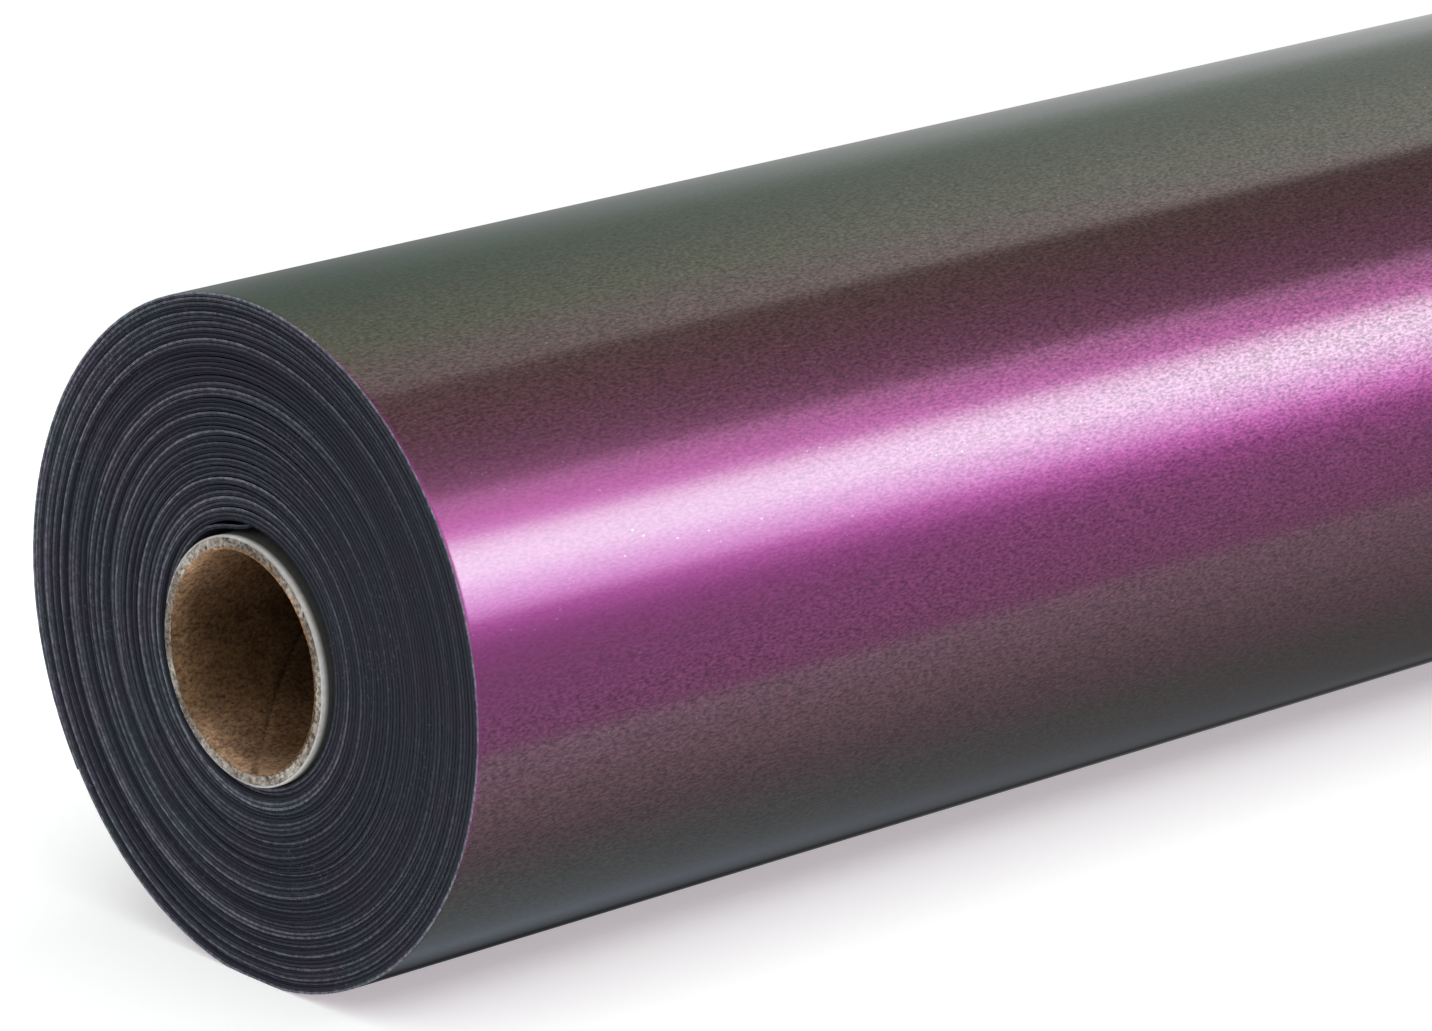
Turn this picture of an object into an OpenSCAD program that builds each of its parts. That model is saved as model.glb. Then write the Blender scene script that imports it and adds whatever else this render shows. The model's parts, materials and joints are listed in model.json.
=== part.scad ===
// Wide roll of colour-shift self-adhesive film, wound on a cardboard core and lying on its side.
// The core's axis is the X axis, and the origin is on it at mid-length. The film and its release
// liner wind round the core together: each drawn turn stands for two turns of the real, thinner web.

/* [Core] */
// Diameter of the core's bore, which a 2 in mandrel fits
core_bore_d = 50.8; // [25.4:0.1:76.2]
// Thickness of the kraft ply that lines the bore
inner_ply_t = 0.5; // [0.3:0.1:1]
// Thickness of the chipboard plies that make the core's wall
board_t = 2.1; // [1:0.1:5]
// Thickness of the pale ply that wraps the core
outer_ply_t = 0.5; // [0.3:0.1:1]
// How far the core stands out of the winding at each end
core_proj = 2; // [0.5:0.5:6]

/* [Web] */
// Width of the web, which is the length of the winding
web_w = 610; // [450:10:1520]
// Thickness of the colour film
film_t = 0.95; // [0.5:0.05:1.3]
// Thickness of the release liner on the film's sticky side
liner_t = 0.8; // [0.5:0.05:1.3]
// How far the liner's edges lie back from the film's edges
liner_setback = 0.3; // [0:0.1:1]
// Full turns of the web round the core
turns = 23; // [6:1:23]
// Length of the tail past the last full turn, in degrees round the roll
tail_angle = 125; // [60:5:160]

/* [Winding] */
// Gap between neighbouring plies below the core, where the winding is tight
ply_gap = 0.15; // [0.12:0.01:0.4]
// Slack of each turn above the core, where the winding is loose
turn_slack = 0.14; // [0.06:0.01:0.5]
// Slack between the core's top and the first turn
core_slack = 1.8; // [1:0.1:4]
// Depth of the flat that the roll's weight presses into its underside
flat_depth = 0.5; // [0.3:0.1:0.8]

/* [Tapes] */
// Thickness of the tapes that hold the web's two ends
tape_t = 0.1; // [0.05:0.01:0.12]
// Width of each tape, along the roll
tape_w = 36; // [12:1:60]
// Tapes at each end of the web
tape_count = 3; // [1:1:3]
// Distance between the centres of neighbouring tapes
tape_spacing = 205; // [100:5:205]
// Length of a tape that sticks to each side of the web's edge
tape_reach = 20; // [8:1:30]
// Distance along the roll in which a tape comes down from the web's edge
tape_ramp = 4; // [3:0.5:8]
// Gap between a tape and what it sticks to, which its adhesive fills
tape_gap = 0.04; // [0.02:0.01:0.06]

/* [Hidden] */
$fn = 96;

// How far a cut runs past the solid that it cuts
cut_over = 1;

// Core
bore_r = core_bore_d / 2;
board_inner_r = bore_r + inner_ply_t;
board_outer_r = board_inner_r + board_t;
core_r = board_outer_r + outer_ply_t;
core_len = web_w + 2 * core_proj;

// Distances of the winding's faces from the core's axis, straight above it and straight below it.
// The plies lie ply_gap apart below. Above, each turn hangs clear of the one inside it by its slack.
pitch_below = liner_t + film_t + 2 * ply_gap;
pitch_above = pitch_below + turn_slack;
liner_above = core_r + core_slack;
liner_below = core_r + ply_gap;
film_above = liner_above + liner_t + ply_gap;
film_below = liner_below + liner_t + ply_gap;
film_bottom = film_below + (turns - 1) * pitch_below + film_t;
floor_z = flat_depth - film_bottom;

// A ply is wound in half turns, counted from the top of the core. Even ones pass the roll's back,
// which is +Y, and odd ones pass its front. The tail is a part of the half turn after the last full
// turn. Angles run from +Y towards +Z.
tail_half = 2 * turns;
top_phi = 90;
tail_phi = top_phi - tail_angle;
function arc_sweep(h) = h == tail_half ? tail_angle : 180;
function arc_start(h) = h % 2 == 1 ? top_phi : top_phi - arc_sweep(h);

// How high and how low half turn h of a ply reaches, and the arc that joins its two ends
function reach_above(h, above) = above + pitch_above * floor((h + 1) / 2);
function reach_below(h, below) = below + pitch_below * floor(h / 2);
function arc_r(h, above, below) = (reach_above(h, above) + reach_below(h, below)) / 2;
function arc_z(h, above, below) = (reach_above(h, above) - reach_below(h, below)) / 2;

// A point of the roll's cross-section, as [y, z], at angle phi on a circle round [0, z]
function polar(z, r, phi) = [r * cos(phi), z + r * sin(phi)];
function degrees_of(length, r) = length / r * 180 / PI;

// Points along an arc round [0, z], from angle a to angle b
arc_steps = 8;
function arc_points(z, r, a, b) = [for (i = [0 : arc_steps]) polar(z, r, a + (b - a) * i / arc_steps)];

// Distances from points on a ply's outer face to the inner face of its own next turn
gap_step = 15;
function gaps_to_itself(above, below, t) = [
    for (next = [2 : tail_half])
    for (phi = [arc_start(next) : gap_step : arc_start(next) + arc_sweep(next)])
    let (face_point = polar(arc_z(next - 2, above, below), arc_r(next - 2, above, below) + t, phi))
    arc_r(next, above, below) - norm(face_point - [0, arc_z(next, above, below)])
];
echo(film_gap_to_itself = min(gaps_to_itself(film_above, film_below, film_t)));
echo(liner_gap_to_itself = min(gaps_to_itself(liner_above, liner_below, liner_t)));
echo(roll_height = film_bottom - flat_depth + reach_above(tail_half, film_above) + film_t);

// Turns a shape round X: it is drawn round Z, with its X axis along the roll's +Y
module round_the_axis() {
    rotate([90, 0, 90]) children();
}

// Part of a ring round the X axis at height z, from angle phi over sweep degrees
module ring_part(z, r, t, width, phi, sweep) {
    translate([0, 0, z])
        round_the_axis()
        rotate_extrude(angle = sweep, start = phi)
        translate([r, -width / 2])
        square([t, width]);
}

module tube(inner_r, outer_r, length) {
    round_the_axis()
        difference() {
            cylinder(h = length, r = outer_r, center = true);
            cylinder(h = length + 2 * cut_over, r = inner_r, center = true);
        }
}

// One ply of the web, wound without a break from its edge on top of the core to its tail
module wound_ply(above, below, t, width) {
    for (h = [0 : tail_half])
        ring_part(arc_z(h, above, below), arc_r(h, above, below), t, width, arc_start(h), arc_sweep(h));
}

// A tape over an edge of the web: it lies on the web, on an arc of radius high_r round high_z, comes
// down past the edge at edge_phi, and lies on what is below, on an arc of radius low_r round low_z.
// way is 1 where the web lies on the side of growing phi, and -1 where it lies on the other.
module edge_tape(high_z, high_r, low_z, low_r, edge_phi, way) {
    head_phi = edge_phi + way * degrees_of(tape_reach, high_r);
    foot_phi = edge_phi - way * degrees_of(tape_ramp, low_r);
    end_phi = foot_phi - way * degrees_of(tape_reach, low_r);
    under = concat(
        arc_points(high_z, high_r, head_phi, edge_phi),
        arc_points(low_z, low_r, foot_phi, end_phi)
    );
    over = concat(
        arc_points(low_z, low_r + tape_t, end_phi, foot_phi),
        arc_points(high_z, high_r + tape_t, edge_phi, head_phi)
    );
    round_the_axis()
        linear_extrude(height = tape_w, center = true)
        polygon(concat(under, over));
}

module row_of_tapes() {
    for (i = [0 : tape_count - 1])
        translate([(i - (tape_count - 1) / 2) * tape_spacing, 0, 0])
        children();
}

module core_inner_ply() {
    color("saddlebrown") tube(bore_r, board_inner_r, core_len);
}

module core_board() {
    color("tan") tube(board_inner_r, board_outer_r, core_len);
}

module core_outer_ply() {
    color("gainsboro") tube(board_outer_r, core_r, core_len);
}

// The web starts on top of the core, where these tapes hold its edge down to the core
module core_tapes() {
    color("khaki")
        row_of_tapes()
        edge_tape(
            arc_z(0, film_above, film_below), arc_r(0, film_above, film_below) + film_t + tape_gap,
            0, core_r + tape_gap, top_phi, -1
        );
}

module release_liner() {
    color("slategray")
        wound_ply(liner_above, liner_below, liner_t, web_w - 2 * liner_setback);
}

module colour_film() {
    color("mediumorchid")
        difference() {
            wound_ply(film_above, film_below, film_t, web_w);
            translate([0, 0, floor_z - film_bottom / 2])
                cube([web_w + 2 * cut_over, film_bottom, film_bottom], center = true);
        }
}

// The tail ends on the roll's back, where these tapes hold it down to the turn below
module tail_tapes() {
    color("khaki")
        row_of_tapes()
        edge_tape(
            arc_z(tail_half, film_above, film_below),
            arc_r(tail_half, film_above, film_below) + film_t + tape_gap,
            arc_z(tail_half - 2, film_above, film_below),
            arc_r(tail_half - 2, film_above, film_below) + film_t + tape_gap,
            tail_phi, 1
        );
}

core_inner_ply();
core_board();
core_outer_ply();
core_tapes();
release_liner();
colour_film();
tail_tapes();
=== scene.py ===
import json
import math

import bpy
import numpy as np
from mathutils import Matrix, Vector


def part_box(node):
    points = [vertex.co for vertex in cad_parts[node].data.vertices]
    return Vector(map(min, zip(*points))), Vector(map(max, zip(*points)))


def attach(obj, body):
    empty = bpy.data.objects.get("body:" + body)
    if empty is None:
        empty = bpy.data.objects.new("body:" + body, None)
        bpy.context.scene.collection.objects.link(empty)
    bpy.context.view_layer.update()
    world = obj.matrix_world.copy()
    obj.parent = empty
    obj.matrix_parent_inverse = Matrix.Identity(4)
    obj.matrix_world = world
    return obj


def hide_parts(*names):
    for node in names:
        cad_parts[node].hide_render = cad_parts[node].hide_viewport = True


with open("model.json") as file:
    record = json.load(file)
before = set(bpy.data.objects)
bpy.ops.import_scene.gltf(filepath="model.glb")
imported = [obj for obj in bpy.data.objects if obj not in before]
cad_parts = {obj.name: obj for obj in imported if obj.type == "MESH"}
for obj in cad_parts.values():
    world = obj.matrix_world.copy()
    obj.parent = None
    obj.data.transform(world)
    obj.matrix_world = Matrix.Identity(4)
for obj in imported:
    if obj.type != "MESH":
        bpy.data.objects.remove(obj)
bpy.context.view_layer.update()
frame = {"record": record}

MM = 0.001
rng = np.random.default_rng(24)

# ---------------------------------------------------------------- Sizes read from the frame

film_low, film_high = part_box("colour_film")
ply_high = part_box("core_outer_ply")[1]
board_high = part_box("core_board")[1]
lining_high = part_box("core_inner_ply")[1]
tapes_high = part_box("tail_tapes")[1]
bore = next(m for m in frame["record"]["mounts"] if m["name"] == "core_bore")

BORE_R = bore["dims"]["r_mm"] * MM
LINING_R, BOARD_R, CORE_R = lining_high.z, board_high.z, ply_high.z
CORE_END = ply_high.x
WEB_END = film_high.x
TOP_Z = film_high.z
FLOOR_Z = film_low.z
FLAT_DEPTH = 0.5 * MM
BOTTOM_Z = FLOOR_Z - FLAT_DEPTH
MIDDLE_Z = (TOP_Z + BOTTOM_Z) / 2
ROLL_R = (TOP_Z - BOTTOM_Z) / 2

# ---------------------------------------------------------------- The winding

# The real web is half as thick as the frame's, and has twice its turns
TURNS = 46
TAIL_TURN = 125 / 360
LINER_T = 0.45 * MM
FILM_T = 0.52 * MM
PLY_GAP = 0.03 * MM
LINER_SETBACK = 0.2 * MM
WEB_T = LINER_T + PLY_GAP + FILM_T
CORE_SLACK = 1.8 * MM
CORE_GAP = 0.15 * MM
START_ABOVE = CORE_R + CORE_SLACK
START_BELOW = CORE_R + CORE_GAP
PITCH_ABOVE = (TOP_Z - WEB_T - START_ABOVE) / TURNS
PITCH_BELOW = (-BOTTOM_Z - WEB_T - START_BELOW) / (TURNS - 1)
STEPS_FIRST_TURN, STEPS_LAST_TURN = 60, 96

# How far the web's edges are rounded, and how far in from them its flat part begins
EDGE_ROUND = 0.07 * MM
EDGE_FLAT = 1.2 * MM

# The first turn droops away from the second over this part of a turn, most near its edge, and the tail
# is pressed down to a part of its thickness over the last of it
DROOP = 0.8 * MM
DROOP_TURN = 0.085
DROOP_POWER = 0.6
TAIL_PRESSED = 0.45
TAIL_PRESSED_TURN = 0.1

# Turns wander in and out a little between the core and the outermost turns, all together
WANDER = (  # amplitude, length of a wave across the turns, waves round the roll, phase
    (0.22 * MM, 13 * MM, 2, 0.4),
    (0.13 * MM, 6.5 * MM, 3, 2.1),
    (0.08 * MM, 4.2 * MM, 5, 4.4),
)
WANDER_FADE = 7 * MM
FLAT_FADE = 8 * MM


def smooth(x):
    x = np.clip(x, 0, 1)
    return x * x * (3 - 2 * x)


def settle(y, z):
    """Moves points of the cross-section as the turns wander, and as the flat under the roll lifts them."""
    radius = np.hypot(y, z - MIDDLE_Z)
    angle = np.arctan2(z - MIDDLE_Z, y)
    fade = smooth((ROLL_R - radius) / WANDER_FADE) * smooth((np.hypot(y, z) - CORE_R) / WANDER_FADE)
    shift = sum(a * np.sin(2 * np.pi * radius / wave + n * angle + p) for a, wave, n, p in WANDER) * fade
    y, z = y + shift * np.cos(angle), z + shift * np.sin(angle)
    edge_z = MIDDLE_Z - np.sqrt(np.maximum(ROLL_R**2 - y**2, 0))
    lift = np.maximum(FLOOR_Z - edge_z, 0) * np.clip(1 - (z - edge_z) / FLAT_FADE, 0, 1) * (z < 0)
    return y, np.where(lift > 0, np.maximum(z + lift, FLOOR_Z), z)


def web_points(turn, lift):
    """Points [y, z] on the web, at counts of turns from its start edge, lift above the liner's inner face.
    Each half turn is an arc that joins the heights which the web reaches above and below the core."""
    half = np.minimum(np.floor(2 * turn), 2 * TURNS)
    phi = np.radians(np.where(half % 2 == 1, 270, 90) - 180 * (2 * turn - half))
    above = START_ABOVE + PITCH_ABOVE * np.floor((half + 1) / 2)
    below = START_BELOW + PITCH_BELOW * np.floor(half / 2)
    droop = DROOP * np.sin(np.pi * np.clip(turn / DROOP_TURN, 0, 1) ** DROOP_POWER)
    pressed = smooth(1 + (turn - TURNS - TAIL_TURN) / TAIL_PRESSED_TURN)
    r = (above + below) / 2 + lift * (1 - (1 - TAIL_PRESSED) * pressed) - droop
    return settle(r * np.cos(phi), (above - below) / 2 + r * np.sin(phi))


def build(name, points, faces, materials, face_material=None):
    """A smooth mesh object that rides on the part's one body."""
    mesh = bpy.data.meshes.new(name)
    mesh.from_pydata(points.tolist(), [], faces)
    for material in materials:
        mesh.materials.append(material)
    if face_material is not None:
        mesh.polygons.foreach_set("material_index", np.asarray(face_material, np.int32))
    mesh.polygons.foreach_set("use_smooth", np.full(len(faces), True))
    mesh.validate()
    piece = bpy.data.objects.new(name, mesh)
    bpy.context.scene.collection.objects.link(piece)
    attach(piece, "root")
    return piece


def loop_faces(rows, columns, closed_rows=False):
    """Quads of a grid whose columns close on themselves, and whose rows may."""
    last = rows if closed_rows else rows - 1
    i, j = np.meshgrid(np.arange(last), np.arange(columns), indexing="ij")
    i2, j2 = (i + 1) % rows, (j + 1) % columns
    quads = np.stack([i * columns + j, i2 * columns + j, i2 * columns + j2, i * columns + j2], -1)
    return quads.reshape(-1, 4).tolist(), j.ravel()


def set_tone(piece, tone):
    """Stores one number per vertex, which the web's materials read as lightness."""
    layer = piece.data.attributes.new("tone", "FLOAT", "POINT")
    layer.data.foreach_set("value", np.asarray(tone, np.float32))


# How far each stretch of the web lies out of line along the roll, and how light its edge is, is drawn at
# random at knots along the web. A share of the stretches are sunk in, and the last turns lie flush.
KNOTS_PER_TURN = 2
DRIFT = 0.04 * MM
SUNK = 1.2 * MM
SUNK_SHARE = 0.3
FLUSH_TURNS = 2
DARK_BIAS = 1.2
turn_knots = np.arange(0, TURNS + 2, 1 / KNOTS_PER_TURN)
drift_knots = rng.uniform(-DRIFT, DRIFT, (2, len(turn_knots)))
sunk_knots = SUNK * (rng.random((2, len(turn_knots))) < SUNK_SHARE)
tone_knots = rng.random(len(turn_knots)) ** DARK_BIAS

# The web is uneven on one side of the roll, at this part of each turn, and nearly even on the other
UNEVEN_TURN = 0.3
UNEVEN_LEAST = 0.04
UNEVEN_POWER = 0.8

# An edge's tone where the web is even, what unevenness adds to it, and how bundles of turns vary it
TONE_EVEN, TONE_UNEVEN = 0.32, 0.55
BUNDLE_TURNS = 4.6
BUNDLE_LEAST, BUNDLE_RISE = 0.7, 0.6
# The outermost turn's cut edge is painted lighter than any other, a painted highlight along the rim of the
# end face
OUTER_TURN_HIGHLIGHT_TONE = 1.2


def wave(turns):
    """From 1 at whole turns down to 0 halfway between them."""
    return 0.5 + 0.5 * np.cos(2 * np.pi * turns)


def unevenness(turn):
    return UNEVEN_LEAST + (1 - UNEVEN_LEAST) * wave(turn - UNEVEN_TURN) ** UNEVEN_POWER


def out_of_line(turn, end):
    """How far the web lies in from its place at an end, which is 0 for the near one and 1 for the far."""
    drift, sunk = (np.interp(turn, turn_knots, knots[end]) for knots in (drift_knots, sunk_knots))
    return (drift + sunk * unevenness(turn) ** 2) * np.clip((TURNS - 1 - turn) / FLUSH_TURNS, 0, 1)


def edge_tone(turn):
    """How light the web's edge is: 0 is dark and 1 is light."""
    bundle = BUNDLE_LEAST + BUNDLE_RISE * wave(turn / BUNDLE_TURNS)
    tone = np.interp(turn, turn_knots, tone_knots) * (TONE_EVEN + TONE_UNEVEN * unevenness(turn)) * bundle
    # The outermost turn gets the painted highlight tone
    return np.where(turn > TURNS - 1 + TAIL_TURN, OUTER_TURN_HIGHLIGHT_TONE, tone)


def stations():
    """Counts of turns at which the web is drawn: more of them in the wider turns, and its very end."""
    turn = np.linspace(0, TURNS + TAIL_TURN, 5000)
    steps = STEPS_FIRST_TURN * turn + (STEPS_LAST_TURN - STEPS_FIRST_TURN) * turn**2 / (2 * TURNS)
    return np.append(np.interp(np.arange(int(steps[-1])), steps, turn), turn[-1])


def wound_ply(name, bottom, thickness, setback, columns, round_steps, materials):
    """One ply of the web, wound from its edge on top of the core to its tail. Its three materials are
    those of its outer face, of the rounded corners of that face, and of its cut edges and inner face."""
    turn = stations()
    corner = np.linspace(0, np.pi / 2, round_steps)
    inset = EDGE_ROUND * (1 - np.sin(corner))
    rise = EDGE_ROUND * (1 - np.cos(corner))
    # One end's profile from its outer face to its inner face, as [distance from the edge, height]
    outer_corner = np.stack([inset, thickness - rise], 1)
    inner_corner = np.stack([inset, rise], 1)[::-1]
    end = np.concatenate([outer_corner, inner_corner])
    across = np.linspace(-1, 1, columns) * (WEB_END - EDGE_FLAT)
    near = -WEB_END + setback * unevenness(turn) + out_of_line(turn, 0)
    far = WEB_END - setback * unevenness(turn) - out_of_line(turn, 1)
    along = np.repeat(across[None], len(turn), 0)
    x = np.concatenate([near[:, None] + end[None, ::-1, 0], along, far[:, None] - end[None, :, 0]], 1)
    height = np.concatenate([end[::-1, 1], np.full(columns, thickness), end[:, 1]])
    y, z = web_points(turn[:, None], bottom + height[None])
    rows, cols = x.shape
    faces, column = loop_faces(rows, cols)
    faces += [list(range(cols)), list(range((rows - 1) * cols, rows * cols))[::-1]]
    first_outer, last_outer = len(end) - 1, len(end) + columns - 1
    is_outer = (column >= first_outer) & (column <= last_outer)
    is_corner = (column > first_outer - round_steps) & (column < last_outer + round_steps) & ~is_outer
    slots = np.append(np.where(is_outer, 0, np.where(is_corner, 1, 2)), [2, 2])
    piece = build(name, np.stack([x, y, z], -1).reshape(-1, 3), faces, materials, slots)
    set_tone(piece, np.repeat(edge_tone(turn), cols))
    return piece


# ---------------------------------------------------------------- Materials


class Shader:
    """Adds nodes to the node tree of a material or of the world."""

    def __init__(self, tree):
        self.tree = tree

    def add(self, kind, **inputs):
        """A node of a kind, with inputs set to values or to other nodes' outputs. An input goes by its
        name, with _ for a space, or by its number after a _."""
        node = self.tree.nodes.new("ShaderNode" + kind)
        self.set(node, **inputs)
        return node

    def set(self, node, **inputs):
        for name, value in inputs.items():
            socket = node.inputs[int(name[1:])] if name[0] == "_" else node.inputs[name.replace("_", " ")]
            if isinstance(value, bpy.types.NodeSocket):
                self.tree.links.new(value, socket)
            else:
                socket.default_value = value

    def principled(self, **inputs):
        """Sets the Principled shader that a new material has."""
        node = self.tree.nodes["Principled BSDF"]
        self.set(node, **inputs)
        return node

    def place(self, scale=(1, 1, 1)):
        """The point's place in the part's frame, in metres, stretched by scale."""
        where = self.add("TexCoord").outputs["Object"]
        return self.add("Mapping", Vector=where, Scale=scale).outputs[0]

    def noise(self, scale, detail=2.0, stretch=(1, 1, 1), roughness=0.5):
        """Noise from 0 to 1 with scale blots to a metre, fewer in the directions with a stretch under 1."""
        where = self.place(stretch)
        node = self.add("TexNoise", Vector=where, Scale=scale, Detail=detail, Roughness=roughness)
        return node.outputs["Fac"]

    def ramp(self, value, stops):
        """Colours, or greys, at places from 0 to 1."""
        node = self.add("ValToRGB", Fac=value)
        elements = node.color_ramp.elements
        while len(elements) < len(stops):
            elements.new(0.5)
        for element, (at, colour) in zip(elements, stops):
            element.position = at
            element.color = (*(colour if isinstance(colour, tuple) else (colour,) * 3), 1)
        return node.outputs["Color"]

    def mix(self, factor, a, b, blend="MIX"):
        """A mix of two colours, either of which may be another node's output."""
        node = self.tree.nodes.new("ShaderNodeMix")
        node.data_type = "RGBA"
        node.blend_type = blend
        for index, value in ((0, factor), (6, a), (7, b)):
            if isinstance(value, bpy.types.NodeSocket):
                self.tree.links.new(value, node.inputs[index])
            else:
                node.inputs[index].default_value = value if index == 0 else (*value, 1)
        return node.outputs[2]

    def math(self, operation, a, b=0.0):
        node = self.add("Math", _0=a, _1=b)
        node.operation = operation
        return node.outputs[0]

    def map_range(self, value, low, high):
        """From 0 where the value is low to 1 where it is high."""
        return self.add("MapRange", Value=value, From_Min=low, From_Max=high).outputs[0]

    def bump(self, height, distance, strength=1.0):
        return self.add("Bump", Height=height, Distance=distance, Strength=strength).outputs[0]


def new_material(name):
    material = bpy.data.materials.new(name)
    material.use_nodes = True
    return material, Shader(material.node_tree)


# How the film's colour shifts as it is seen at a flatter angle: Facing is 0 head on and 1 edge on
FILM_SHIFT = (
    (0.00, (0.265, 0.055, 0.205)),
    (0.20, (0.265, 0.055, 0.205)),
    (0.30, (0.215, 0.061, 0.155)),
    (0.38, (0.15, 0.069, 0.11)),
    (0.48, (0.10, 0.072, 0.082)),
    (0.60, (0.075, 0.071, 0.066)),
    (1.00, (0.062, 0.068, 0.062)),
)


def pearl_film():
    """Purple metal flake under a clear coat, which turns grey-green at flat angles."""
    material, s = new_material("pearl_film")
    facing = s.add("LayerWeight", Blend=0.5).outputs["Facing"]
    shifted = s.ramp(facing, FILM_SHIFT)
    # The fine grain runs along the roll. Its light grains make up for the dark ones, and it is fainter
    # where the film is seen head on.
    grain = s.noise(1900, detail=2, stretch=(0.4, 1, 1), roughness=0.6)
    lightness = s.mix(1.0, s.ramp(grain, ((0.3, 0.34), (0.7, 1.0))), (1.48, 1.48, 1.48), "MULTIPLY")
    sparkle = s.ramp(facing, ((0.225, 0.25), (0.285, 1.0)))
    grained = s.mix(1.0, shifted, s.mix(sparkle, (1.0, 1.0, 1.0), lightness), "MULTIPLY")
    # A few flakes lie so that they flash
    flakes = s.add("TexVoronoi", Vector=s.place((0.6, 1, 1)), Scale=1300)
    chosen = s.math("GREATER_THAN", s.add("SeparateColor", Color=flakes.outputs["Color"]).outputs[0], 0.99)
    near = s.math("LESS_THAN", flakes.outputs["Distance"], 0.3)
    flashing = s.mix(s.math("MULTIPLY", s.math("MULTIPLY", chosen, near), 0.18), grained, (0.5, 0.42, 0.48))
    s.principled(
        Base_Color=flashing, Metallic=1.0, Roughness=0.12, Specular_Tint=(0.7, 0.72, 0.7, 1),
        Normal=s.bump(grain, 0.006 * MM), Coat_Weight=0.3, Coat_Roughness=0.06, Coat_IOR=1.5,
    )
    return material


DUST = (0.19, 0.2, 0.235)


def web_edge(name, dark, light, roughness):
    """The cut edges of the plies: near black, with lighter turns that are blotched, and dust."""
    material, s = new_material(name)
    tone = s.add("Attribute")
    tone.attribute_name = "tone"
    lighter = s.ramp(tone.outputs["Fac"], ((0.15, 0.0), (0.85, 1.0)))
    blotches = s.ramp(s.noise(750, detail=4, roughness=0.65), ((0.42, 0.35), (0.62, 1.0)))
    hue = s.ramp(s.noise(70, detail=2), ((0.4, (1.06, 0.98, 1.05)), (0.6, (0.93, 1.04, 0.98))))
    base = s.mix(1.0, s.mix(s.mix(1.0, lighter, blotches, "MULTIPLY"), dark, light), hue, "MULTIPLY")
    patches = s.ramp(s.noise(45, detail=2), ((0.42, 0.0), (0.62, 1.0)))
    specks = s.ramp(s.noise(900, detail=4, roughness=0.7), ((0.57, 0.0), (0.75, 0.5)))
    dusty = s.mix(s.mix(1.0, specks, patches, "MULTIPLY"), base, DUST)
    cut = s.noise(2200, detail=2)
    s.principled(
        Base_Color=dusty, Roughness=roughness, Normal=s.bump(cut, 0.05 * MM, 0.5), Specular_IOR_Level=0.1
    )
    return material


def paper(name, colours, roughness=0.85, fibre=900, contrast=0.3, bump=0.06 * MM, painted_depth_shade=(), painted_height_light=()):
    """Paper or board: mottled between two colours, with fibres that stand up a little. Its painted shade
    multiplies the colour at distances, in millimetres, from the core's nearer end, and its painted light at
    heights over its axis."""
    material, s = new_material(name)
    mottle = s.noise(90, detail=5)
    fibres = s.noise(fibre, detail=5, stretch=(0.7, 1, 1), roughness=0.7)
    coarse = s.ramp(mottle, ((0.35, colours[0]), (0.65, colours[1])))
    fine = s.ramp(fibres, ((0.35, 1 - contrast), (0.65, 1.0)))
    colour = s.mix(1.0, coarse, fine, "MULTIPLY")
    where = s.add("SeparateXYZ", Vector=s.place()).outputs
    inward = s.math("SUBTRACT", CORE_END, s.math("ABSOLUTE", where["X"]))
    for distance, stops in ((inward, painted_depth_shade), (where["Z"], painted_height_light)):
        if stops:
            low, high = stops[0][0], stops[-1][0]
            along = s.map_range(distance, low * MM, high * MM)
            painted_lighting = s.ramp(along, [((at - low) / (high - low), c) for at, c in stops])
            colour = s.mix(1.0, colour, painted_lighting, "MULTIPLY")
    s.principled(
        Base_Color=colour, Roughness=roughness, Normal=s.bump(fibres, bump), Specular_IOR_Level=0.1
    )
    return material


def clear_tape():
    """Thin clear packing tape, faintly streaked along its length."""
    material, s = new_material("clear_tape")
    streaks = s.noise(500, detail=2, stretch=(1, 0.1, 0.1))
    s.principled(
        Base_Color=s.ramp(streaks, ((0.3, (0.36, 0.32, 0.22)), (0.7, (0.46, 0.42, 0.30)))), Roughness=0.1,
        Alpha=0.2, Normal=s.bump(streaks, 0.02 * MM),
    )
    return material


PEARL = pearl_film()
# The film's rounded corners take a lighter copy of its cut edge's colours, a painted highlight where they
# catch light
FILM_CORNER_HIGHLIGHT = web_edge("film_corner_highlight", (0.042, 0.043, 0.060), (0.36, 0.365, 0.44), 0.45)
FILM_EDGE = web_edge("film_edge", (0.0315, 0.0325, 0.046), (0.24, 0.245, 0.295), 0.6)
LINER_EDGE = web_edge("liner_edge", (0.0205, 0.0213, 0.031), (0.07, 0.072, 0.094), 0.7)

# The papers' shades, from the core's cut ends inwards, are painted shade: the bore is painted darker and
# browner deeper in, with painted light toward its top and bottom, and the wrap is painted darker grey, a
# painted shadow, where it goes into the winding
KRAFT = paper(
    "kraft_paper", ((0.145, 0.082, 0.039), (0.225, 0.132, 0.066)), fibre=1200, contrast=0.75,
    painted_depth_shade=(
        (0, (1.6, 1.63, 1.75)), (7, (1.08, 1.08, 1.1)), (20, (0.68, 0.61, 0.56)), (45, (0.43, 0.4, 0.36)),
    ),
    # Painted light: the bore is painted paler toward its top and bottom
    painted_height_light=(
        (-25, (2.0, 2.15, 2.5)), (-18, (1.28, 1.32, 1.42)), (-10, 1.0), (0, 1.0),
        (9, (1.75, 1.77, 1.95)), (18, (2.8, 2.85, 3.2)), (25, (2.6, 2.65, 3.0)),
    ),
)
BOARD = paper(
    "chipboard", ((0.42, 0.34, 0.28), (1.0, 0.92, 0.82)), fibre=800, contrast=0.88, bump=0.35 * MM
)
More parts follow.
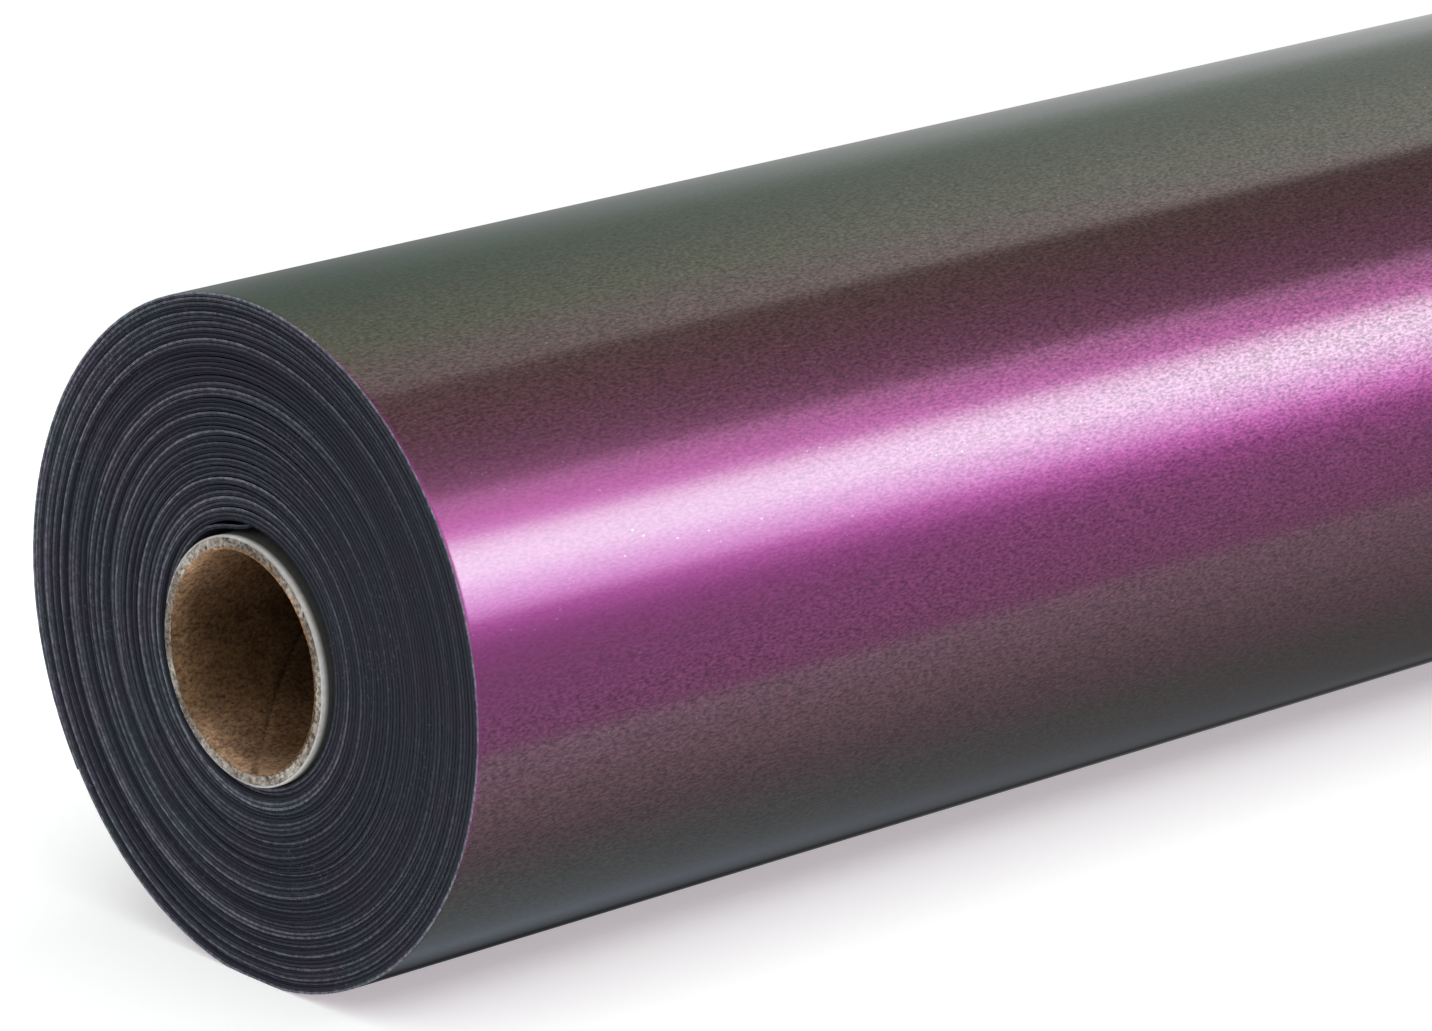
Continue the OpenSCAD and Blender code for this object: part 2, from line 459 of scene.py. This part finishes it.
# The wrap's shades are a painted shadow: it is painted darker grey deeper in, where it goes into the winding
WHITE_PLY = paper(
    "white_ply", ((0.66, 0.65, 0.63), (0.76, 0.75, 0.735)), roughness=0.8, contrast=0.2, bump=0.01 * MM,
    painted_depth_shade=((0, 1.0), (0.6, 0.8), (1.2, 0.36), (1.9, 0.06)),
)
TAPE = clear_tape()

# ---------------------------------------------------------------- The web

film = wound_ply("film_web", LINER_T + PLY_GAP, FILM_T, 0, 3, 3, [PEARL, FILM_CORNER_HIGHLIGHT, FILM_EDGE])
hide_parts("colour_film")
liner = wound_ply("liner_web", 0, LINER_T, LINER_SETBACK, 2, 2, [LINER_EDGE] * 3)
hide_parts("release_liner")

# ---------------------------------------------------------------- The core

# Points round the core, and across the wall of each of its plies
CORE_STEPS = 240
RING_ROWS = 9

# How deep the cut ends of the plies are torn, and how far the board's are frayed in and out
LINING_TORN, BOARD_TORN, WRAP_TORN = 0.3 * MM, 0.6 * MM, 0.06 * MM
BOARD_FRAYED = 0.08 * MM

# The lining ply is wound on in a spiral, whose joint starts near the near end's lowest point
SEAM_LEAD = 160 * MM
SEAM_WIDTH = 0.9 * MM
SEAM_DEPTH = 0.42 * MM
SEAM_START = math.radians(-98)
SEAM_TWIST = 2 * math.pi * 2 * CORE_END / SEAM_LEAD


def torn(depth):
    """Depths of the torn fibres on a ply's two cut ends."""
    return depth * rng.uniform(0, 1, (2, CORE_STEPS, RING_ROWS))


def core_ply(name, inner_r, outer_r, material, depths, columns, twist=0.0, groove=0.0, fray=0.0):
    """A ply of the core, torn at its ends to these depths, and frayed there in and out. Its rows of points
    may turn about the core's axis by twist along the whole core, and then a groove may follow one of them
    along its inner face."""
    angle = np.arange(CORE_STEPS) * 2 * np.pi / CORE_STEPS
    along = np.linspace(-CORE_END, CORE_END, columns)
    across = np.linspace(inner_r, outer_r, RING_ROWS)
    # The loop runs along the inner face, across the far end, back outside and across the near end
    cut_end = np.full(RING_ROWS - 2, CORE_END)
    x = np.concatenate([along, cut_end, along[::-1], -cut_end])
    r = np.concatenate([np.full(columns, inner_r), across[1:-1], np.full(columns, outer_r), across[-2:0:-1]])
    row = np.round((r - inner_r) / (outer_r - inner_r) * (RING_ROWS - 1)).astype(int)
    end = np.where(x > CORE_END - 1e-9, 1, np.where(x < 1e-9 - CORE_END, 0, -1))
    relief = np.where(end >= 0, depths[np.maximum(end, 0), :, row].T, 0)
    away = (angle + np.pi) % (2 * np.pi) - np.pi
    cut = groove * np.exp(-((away * inner_r / SEAM_WIDTH) ** 2))[:, None] * (row == 0)
    radius = r + cut + np.where(end >= 0, fray * rng.uniform(-1, 1, (CORE_STEPS, len(x))), 0)
    turned = angle[:, None] + SEAM_START + twist * (x + CORE_END) / (2 * CORE_END)
    points = np.stack([x - np.sign(x) * relief, radius * np.cos(turned), radius * np.sin(turned)], -1)
    faces, _ = loop_faces(CORE_STEPS, len(x), closed_rows=True)
    return build(name, points.reshape(-1, 3), faces, [material])


lining = core_ply(
    "core_lining", BORE_R, LINING_R, KRAFT, torn(LINING_TORN), 128, twist=SEAM_TWIST, groove=SEAM_DEPTH
)
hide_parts("core_inner_ply")
wall = core_ply("core_wall", LINING_R, BOARD_R, BOARD, torn(BOARD_TORN), 2, fray=BOARD_FRAYED)
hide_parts("core_board")

# The wrap's ends are whole where they can be seen from the front and above, and worn back behind
WORN = 0.5 * MM
WORN_MIDDLE = math.radians(-10)
round_the_core = np.arange(CORE_STEPS) * 2 * np.pi / CORE_STEPS + SEAM_START
worn = WORN * smooth(0.5 + 1.5 * np.cos(round_the_core - WORN_MIDDLE))
wrap_depths = torn(WRAP_TORN) + worn[None, :, None]

# At the near end it has come apart into two layers over a part of its round
SPLIT_DEPTH = 1.5 * MM
SPLIT_ROWS = slice(2, 6)
SPLIT_MIDDLE = math.radians(128)
SPLIT_REACH = math.radians(36)
split = smooth(2 - 2 * np.abs(np.angle(np.exp(1j * (round_the_core - SPLIT_MIDDLE)))) / SPLIT_REACH)
wrap_depths[0, :, SPLIT_ROWS] += SPLIT_DEPTH * split[:, None]
wrap = core_ply("core_wrap", BOARD_R, CORE_R, WHITE_PLY, wrap_depths, 6)
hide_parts("core_outer_ply")

# ---------------------------------------------------------------- The tapes

# Both rows of tapes lie as in the frame, and their ends are toothed where they were torn off
TAPE_T = 0.06 * MM
TAPE_GAP = 0.02 * MM
TAPE_REACH = 20 * MM
TAPE_RAMP = 4 * MM
TAPE_TOOTH = 0.7 * MM
TAPE_SPACING = 205 * MM
TAPE_ROWS, TAPE_COLUMNS = 25, 37
tape_half_width = tapes_high.x - TAPE_SPACING


def sheet_faces(rows, columns):
    """Faces of a thin closed sheet between two grids of points, the lower one's first."""
    lower = np.arange(rows * columns).reshape(rows, columns)
    upper = lower + rows * columns
    rim = np.concatenate([lower[0, :-1], lower[:-1, -1], lower[-1, :0:-1], lower[:0:-1, 0]])
    next_rim = np.roll(rim, -1)
    quads = [
        (upper[:-1, :-1], upper[:-1, 1:], upper[1:, 1:], upper[1:, :-1]),
        (lower[1:, :-1], lower[1:, 1:], lower[:-1, 1:], lower[:-1, :-1]),
        (rim, next_rim, next_rim + rows * columns, rim + rows * columns),
    ]
    return np.concatenate([np.stack(corners, -1).reshape(-1, 4) for corners in quads])


def edge_tapes(name, edge_turn, way, girth, below):
    """A row of tapes over an edge of the web. The web lies on the side of the edge to which its turns go
    up, way 1, or down, way -1. below gives points [y, z] past the edge, at a distance from it, which is
    negative there, and at a height."""
    along = np.linspace(TAPE_REACH, -TAPE_RAMP - TAPE_REACH, TAPE_ROWS)[:, None]
    distance = along + TAPE_TOOTH * np.linspace(-1, 1, TAPE_ROWS)[:, None] * (np.arange(TAPE_COLUMNS) % 2)
    down = smooth(-distance / TAPE_RAMP)
    across = -way * np.linspace(-tape_half_width, tape_half_width, TAPE_COLUMNS)
    points, faces = [], []
    for place in (-TAPE_SPACING, 0, TAPE_SPACING):
        faces.append(sheet_faces(TAPE_ROWS, TAPE_COLUMNS) + len(points) * distance.size)
        for height in (TAPE_GAP, TAPE_GAP + TAPE_T):
            on_web = web_points(edge_turn + way * distance / girth, WEB_T + height)
            y, z = ((1 - down) * high + down * low for high, low in zip(on_web, below(distance, height)))
            points.append(np.stack([np.broadcast_to(place + across, y.shape), y, z], -1).reshape(-1, 3))
    return build(name, np.concatenate(points), np.concatenate(faces).tolist(), [TAPE])


def on_the_core(distance, height):
    angle = math.pi / 2 - distance / CORE_R
    return (CORE_R + height) * np.cos(angle), (CORE_R + height) * np.sin(angle)


def on_the_last_turn(distance, height):
    return web_points(TURNS + TAIL_TURN - 1 - distance / (2 * math.pi * ROLL_R), WEB_T + height)


start_tapes = edge_tapes("start_tapes", 0, 1, 2 * math.pi * START_ABOVE, on_the_core)
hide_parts("core_tapes")
end_tapes = edge_tapes("end_tapes", TURNS + TAIL_TURN, -1, 2 * math.pi * ROLL_R, on_the_last_turn)
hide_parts("tail_tapes")

# ---------------------------------------------------------------- Floor, light and camera

# The studio as the glossy film reflects it, by angle round the roll's axis: degrees up from the level on
# the camera's side, with the colours there toward the roll's near end and toward its far end. In front
# hang a dim wall and a long softbox with a bright strip, which is greenish so that it pales the film's
# purple. Overhead is a dark gap and then a white ceiling, and behind is a wall lit from the far end.
STUDIO = (
    (-180, (0.30, 0.33, 0.32), (0.76, 0.76, 0.76)),
    (-168, (0.25, 0.27, 0.26), (0.63, 0.63, 0.63)),
    (-155, (0.12, 0.13, 0.13), (0.36, 0.36, 0.36)),
    (-140, (0.01, 0.01, 0.01), (0.03, 0.03, 0.03)),
    (-131, (0.16, 0.17, 0.20), (0.19, 0.18, 0.19)),
    (-121, (0.39, 0.42, 0.51), (0.15, 0.14, 0.14)),
    (-90, (0.50, 0.52, 0.55), (0.41, 0.32, 0.34)),
    (-70, (0.57, 0.54, 0.54), (0.70, 0.46, 0.57)),
    (-48, (0.67, 0.84, 0.65), (0.81, 0.69, 0.74)),
    (-35, (0.66, 1.15, 0.70), (0.85, 0.77, 0.79)),
    (-31, (0.64, 0.71, 0.65), (0.82, 0.55, 0.75)),
    (-8, (0.66, 0.71, 0.66), (0.86, 0.70, 0.86)),
    (2, (0.77, 0.74, 0.77), (1.22, 0.78, 1.24)),
    (10, (1.26, 1.00, 1.28), (2.60, 2.10, 2.80)),
    (14, (2.35, 3.50, 2.70), (3.00, 3.70, 3.50)),
    (20, (2.90, 6.20, 3.60), (3.35, 5.80, 4.15)),
    (26, (3.40, 9.60, 4.25), (3.70, 7.90, 4.70)),
    (31, (3.40, 9.60, 4.30), (3.65, 7.70, 4.60)),
    (35, (3.20, 7.90, 3.80), (3.15, 5.20, 3.65)),
    (39, (2.38, 2.95, 2.50), (2.05, 1.75, 2.10)),
    (43, (1.98, 2.05, 1.96), (1.72, 1.50, 1.72)),
    (50, (1.60, 1.90, 1.55), (1.35, 1.45, 1.40)),
    (54, (0.85, 1.05, 0.79), (0.53, 0.60, 0.47)),
    (62, (0.55, 0.76, 0.50), (0.50, 0.50, 0.43)),
    (74, (0.44, 0.64, 0.36), (0.45, 0.44, 0.36)),
    (91, (0.44, 0.60, 0.35), (0.43, 0.40, 0.33)),
    (95, (0.74, 1.07, 0.70), (1.28, 1.66, 1.30)),
    (115, (0.78, 1.06, 0.70), (1.28, 1.46, 1.24)),
    (135, (0.68, 0.78, 0.64), (0.97, 1.02, 0.97)),
    (150, (0.46, 0.58, 0.48), (0.78, 0.84, 0.79)),
    (166, (0.35, 0.42, 0.39), (1.00, 1.00, 1.02)),
    (180, (0.30, 0.33, 0.32), (0.76, 0.76, 0.76)),
)

# The X of the directions that the film mirrors to the camera, at the roll's near end and toward its far end
NEAR_END_X, FAR_END_X = 0.60, 0.715

# Below the first pair's values and above the second's the photograph shows nothing, and the studio gets
# plainer there until it is no brighter than this and mostly grey
AWAY_FROM_X, AWAY_X = 0.55, 0.35
BEYOND_FROM_X, BEYOND_X = 0.76, 0.90
AWAY_BRIGHTEST = 1.3
AWAY_GREY = 0.8

# The light that the studio throws on matt surfaces: most of it from the softbox and overhead
SOFT_LIGHT = (
    (-180, 0.6), (-5, 0.6), (5, 0.35), (34, 0.4), (40, 2.6),
    (54, 2.6), (60, 1.25), (112, 1.25), (122, 0.25), (180, 0.25),
)


def studio_world():
    """The bands for glossy rays, the soft light for diffuse ones, and plain white for the camera."""
    world = bpy.data.worlds.new("studio")
    world.use_nodes = True
    world.cycles.sampling_method = "NONE"
    s = Shader(world.node_tree)
    s.tree.nodes.clear()
    way = s.add("SeparateXYZ", Vector=s.add("TexCoord").outputs["Generated"])
    toward = s.math("MULTIPLY", way.outputs["Y"], -1.0)
    turn = s.math("ADD", s.math("DIVIDE", s.math("ARCTAN2", way.outputs["Z"], toward), 2 * math.pi), 0.5)
    brightest = max(c for row in STUDIO for c in row[1] + row[2])
    ends = [
        s.ramp(turn, [((row[0] + 180) / 360, tuple(c / brightest for c in row[i])) for row in STUDIO])
        for i in (1, 2)
    ]
    toned = s.mix(s.map_range(way.outputs["X"], NEAR_END_X, FAR_END_X), *ends)
    capped = s.mix(1.0, toned, (AWAY_BRIGHTEST / brightest,) * 3, "DARKEN")
    plain = s.mix(AWAY_GREY, capped, s.add("RGBToBW", Color=capped).outputs[0])
    photographed = s.math(
        "MINIMUM", s.map_range(way.outputs["X"], AWAY_X, AWAY_FROM_X),
        s.map_range(way.outputs["X"], BEYOND_X, BEYOND_FROM_X),
    )
    around = s.mix(photographed, plain, toned)
    reflected = s.add("Background", Color=around, Strength=brightest)
    softest = max(level for _, level in SOFT_LIGHT)
    levels = [((a + 180) / 360, level / softest) for a, level in SOFT_LIGHT]
    soft = s.add("Background", Color=s.ramp(turn, levels), Strength=softest)
    white = s.add("Background", Color=(1, 1, 1, 1), Strength=1.0)
    path = s.add("LightPath").outputs
    lit = s.add("MixShader", _0=path["Is Glossy Ray"], _1=soft.outputs[0], _2=reflected.outputs[0])
    seen = s.add("MixShader", _0=path["Is Camera Ray"], _1=lit.outputs[0], _2=white.outputs[0])
    s.tree.links.new(seen.outputs[0], s.add("OutputWorld").inputs[0])
    bpy.context.scene.world = world


# The floor ends a little in front of the roll, where the photograph's shadow has faded to white
FLOOR_FRONT, FLOOR_BACK, FLOOR_HALF_LENGTH = -0.19, 0.4, 0.9
FLOOR_GLOW = 0.385


def stage_floor():
    """A white sheet. To the camera it is white but for the shadow, and the glossy film sees the studio
    through it."""
    corners = [
        (-FLOOR_HALF_LENGTH, FLOOR_FRONT, FLOOR_Z), (FLOOR_HALF_LENGTH, FLOOR_FRONT, FLOOR_Z),
        (FLOOR_HALF_LENGTH, FLOOR_BACK, FLOOR_Z), (-FLOOR_HALF_LENGTH, FLOOR_BACK, FLOOR_Z),
    ]
    mesh = bpy.data.meshes.new("floor")
    mesh.from_pydata(corners, [], [(0, 1, 2, 3)])
    material, s = new_material("floor_sheet")
    white = s.principled(Base_Color=(0.845, 0.873, 0.86, 1), Roughness=0.9, Specular_IOR_Level=0.0)
    path = s.add("LightPath").outputs
    seen = s.math("MULTIPLY", path["Is Camera Ray"], FLOOR_GLOW)
    glow = s.add("Emission", Color=(1, 1, 1, 1), Strength=seen)
    both = s.add("AddShader", _0=white.outputs[0], _1=glow.outputs[0])
    clear = s.add("BsdfTransparent")
    sheet = s.add("MixShader", _0=path["Is Glossy Ray"], _1=both.outputs[0], _2=clear.outputs[0])
    s.tree.links.new(sheet.outputs[0], s.tree.nodes["Material Output"].inputs["Surface"])
    mesh.materials.append(material)
    floor = bpy.data.objects.new("floor", mesh)
    bpy.context.scene.collection.objects.link(floor)


# The camera's place, in radii of the roll from the middle of its near face, and its view
CAMERA_FROM_FACE = Vector((-12.0204, -15.5368, 6.4403))
CAMERA_YAW = 48.4707
CAMERA_DOWN = 17.1848
CAMERA_LENS = 186.13


def photo_camera():
    data = bpy.data.cameras.new("photo_camera")
    data.sensor_width = 36.0
    data.lens = CAMERA_LENS
    data.clip_start, data.clip_end = 0.05, 20.0
    camera = bpy.data.objects.new("photo_camera", data)
    camera.location = Vector((-WEB_END, 0, MIDDLE_Z)) + CAMERA_FROM_FACE * ROLL_R
    camera.rotation_euler = (math.radians(90 - CAMERA_DOWN), 0, math.radians(CAMERA_YAW - 90))
    bpy.context.scene.collection.objects.link(camera)
    bpy.context.scene.camera = camera


studio_world()
stage_floor()
photo_camera()
bpy.context.scene.view_settings.view_transform = "Standard"
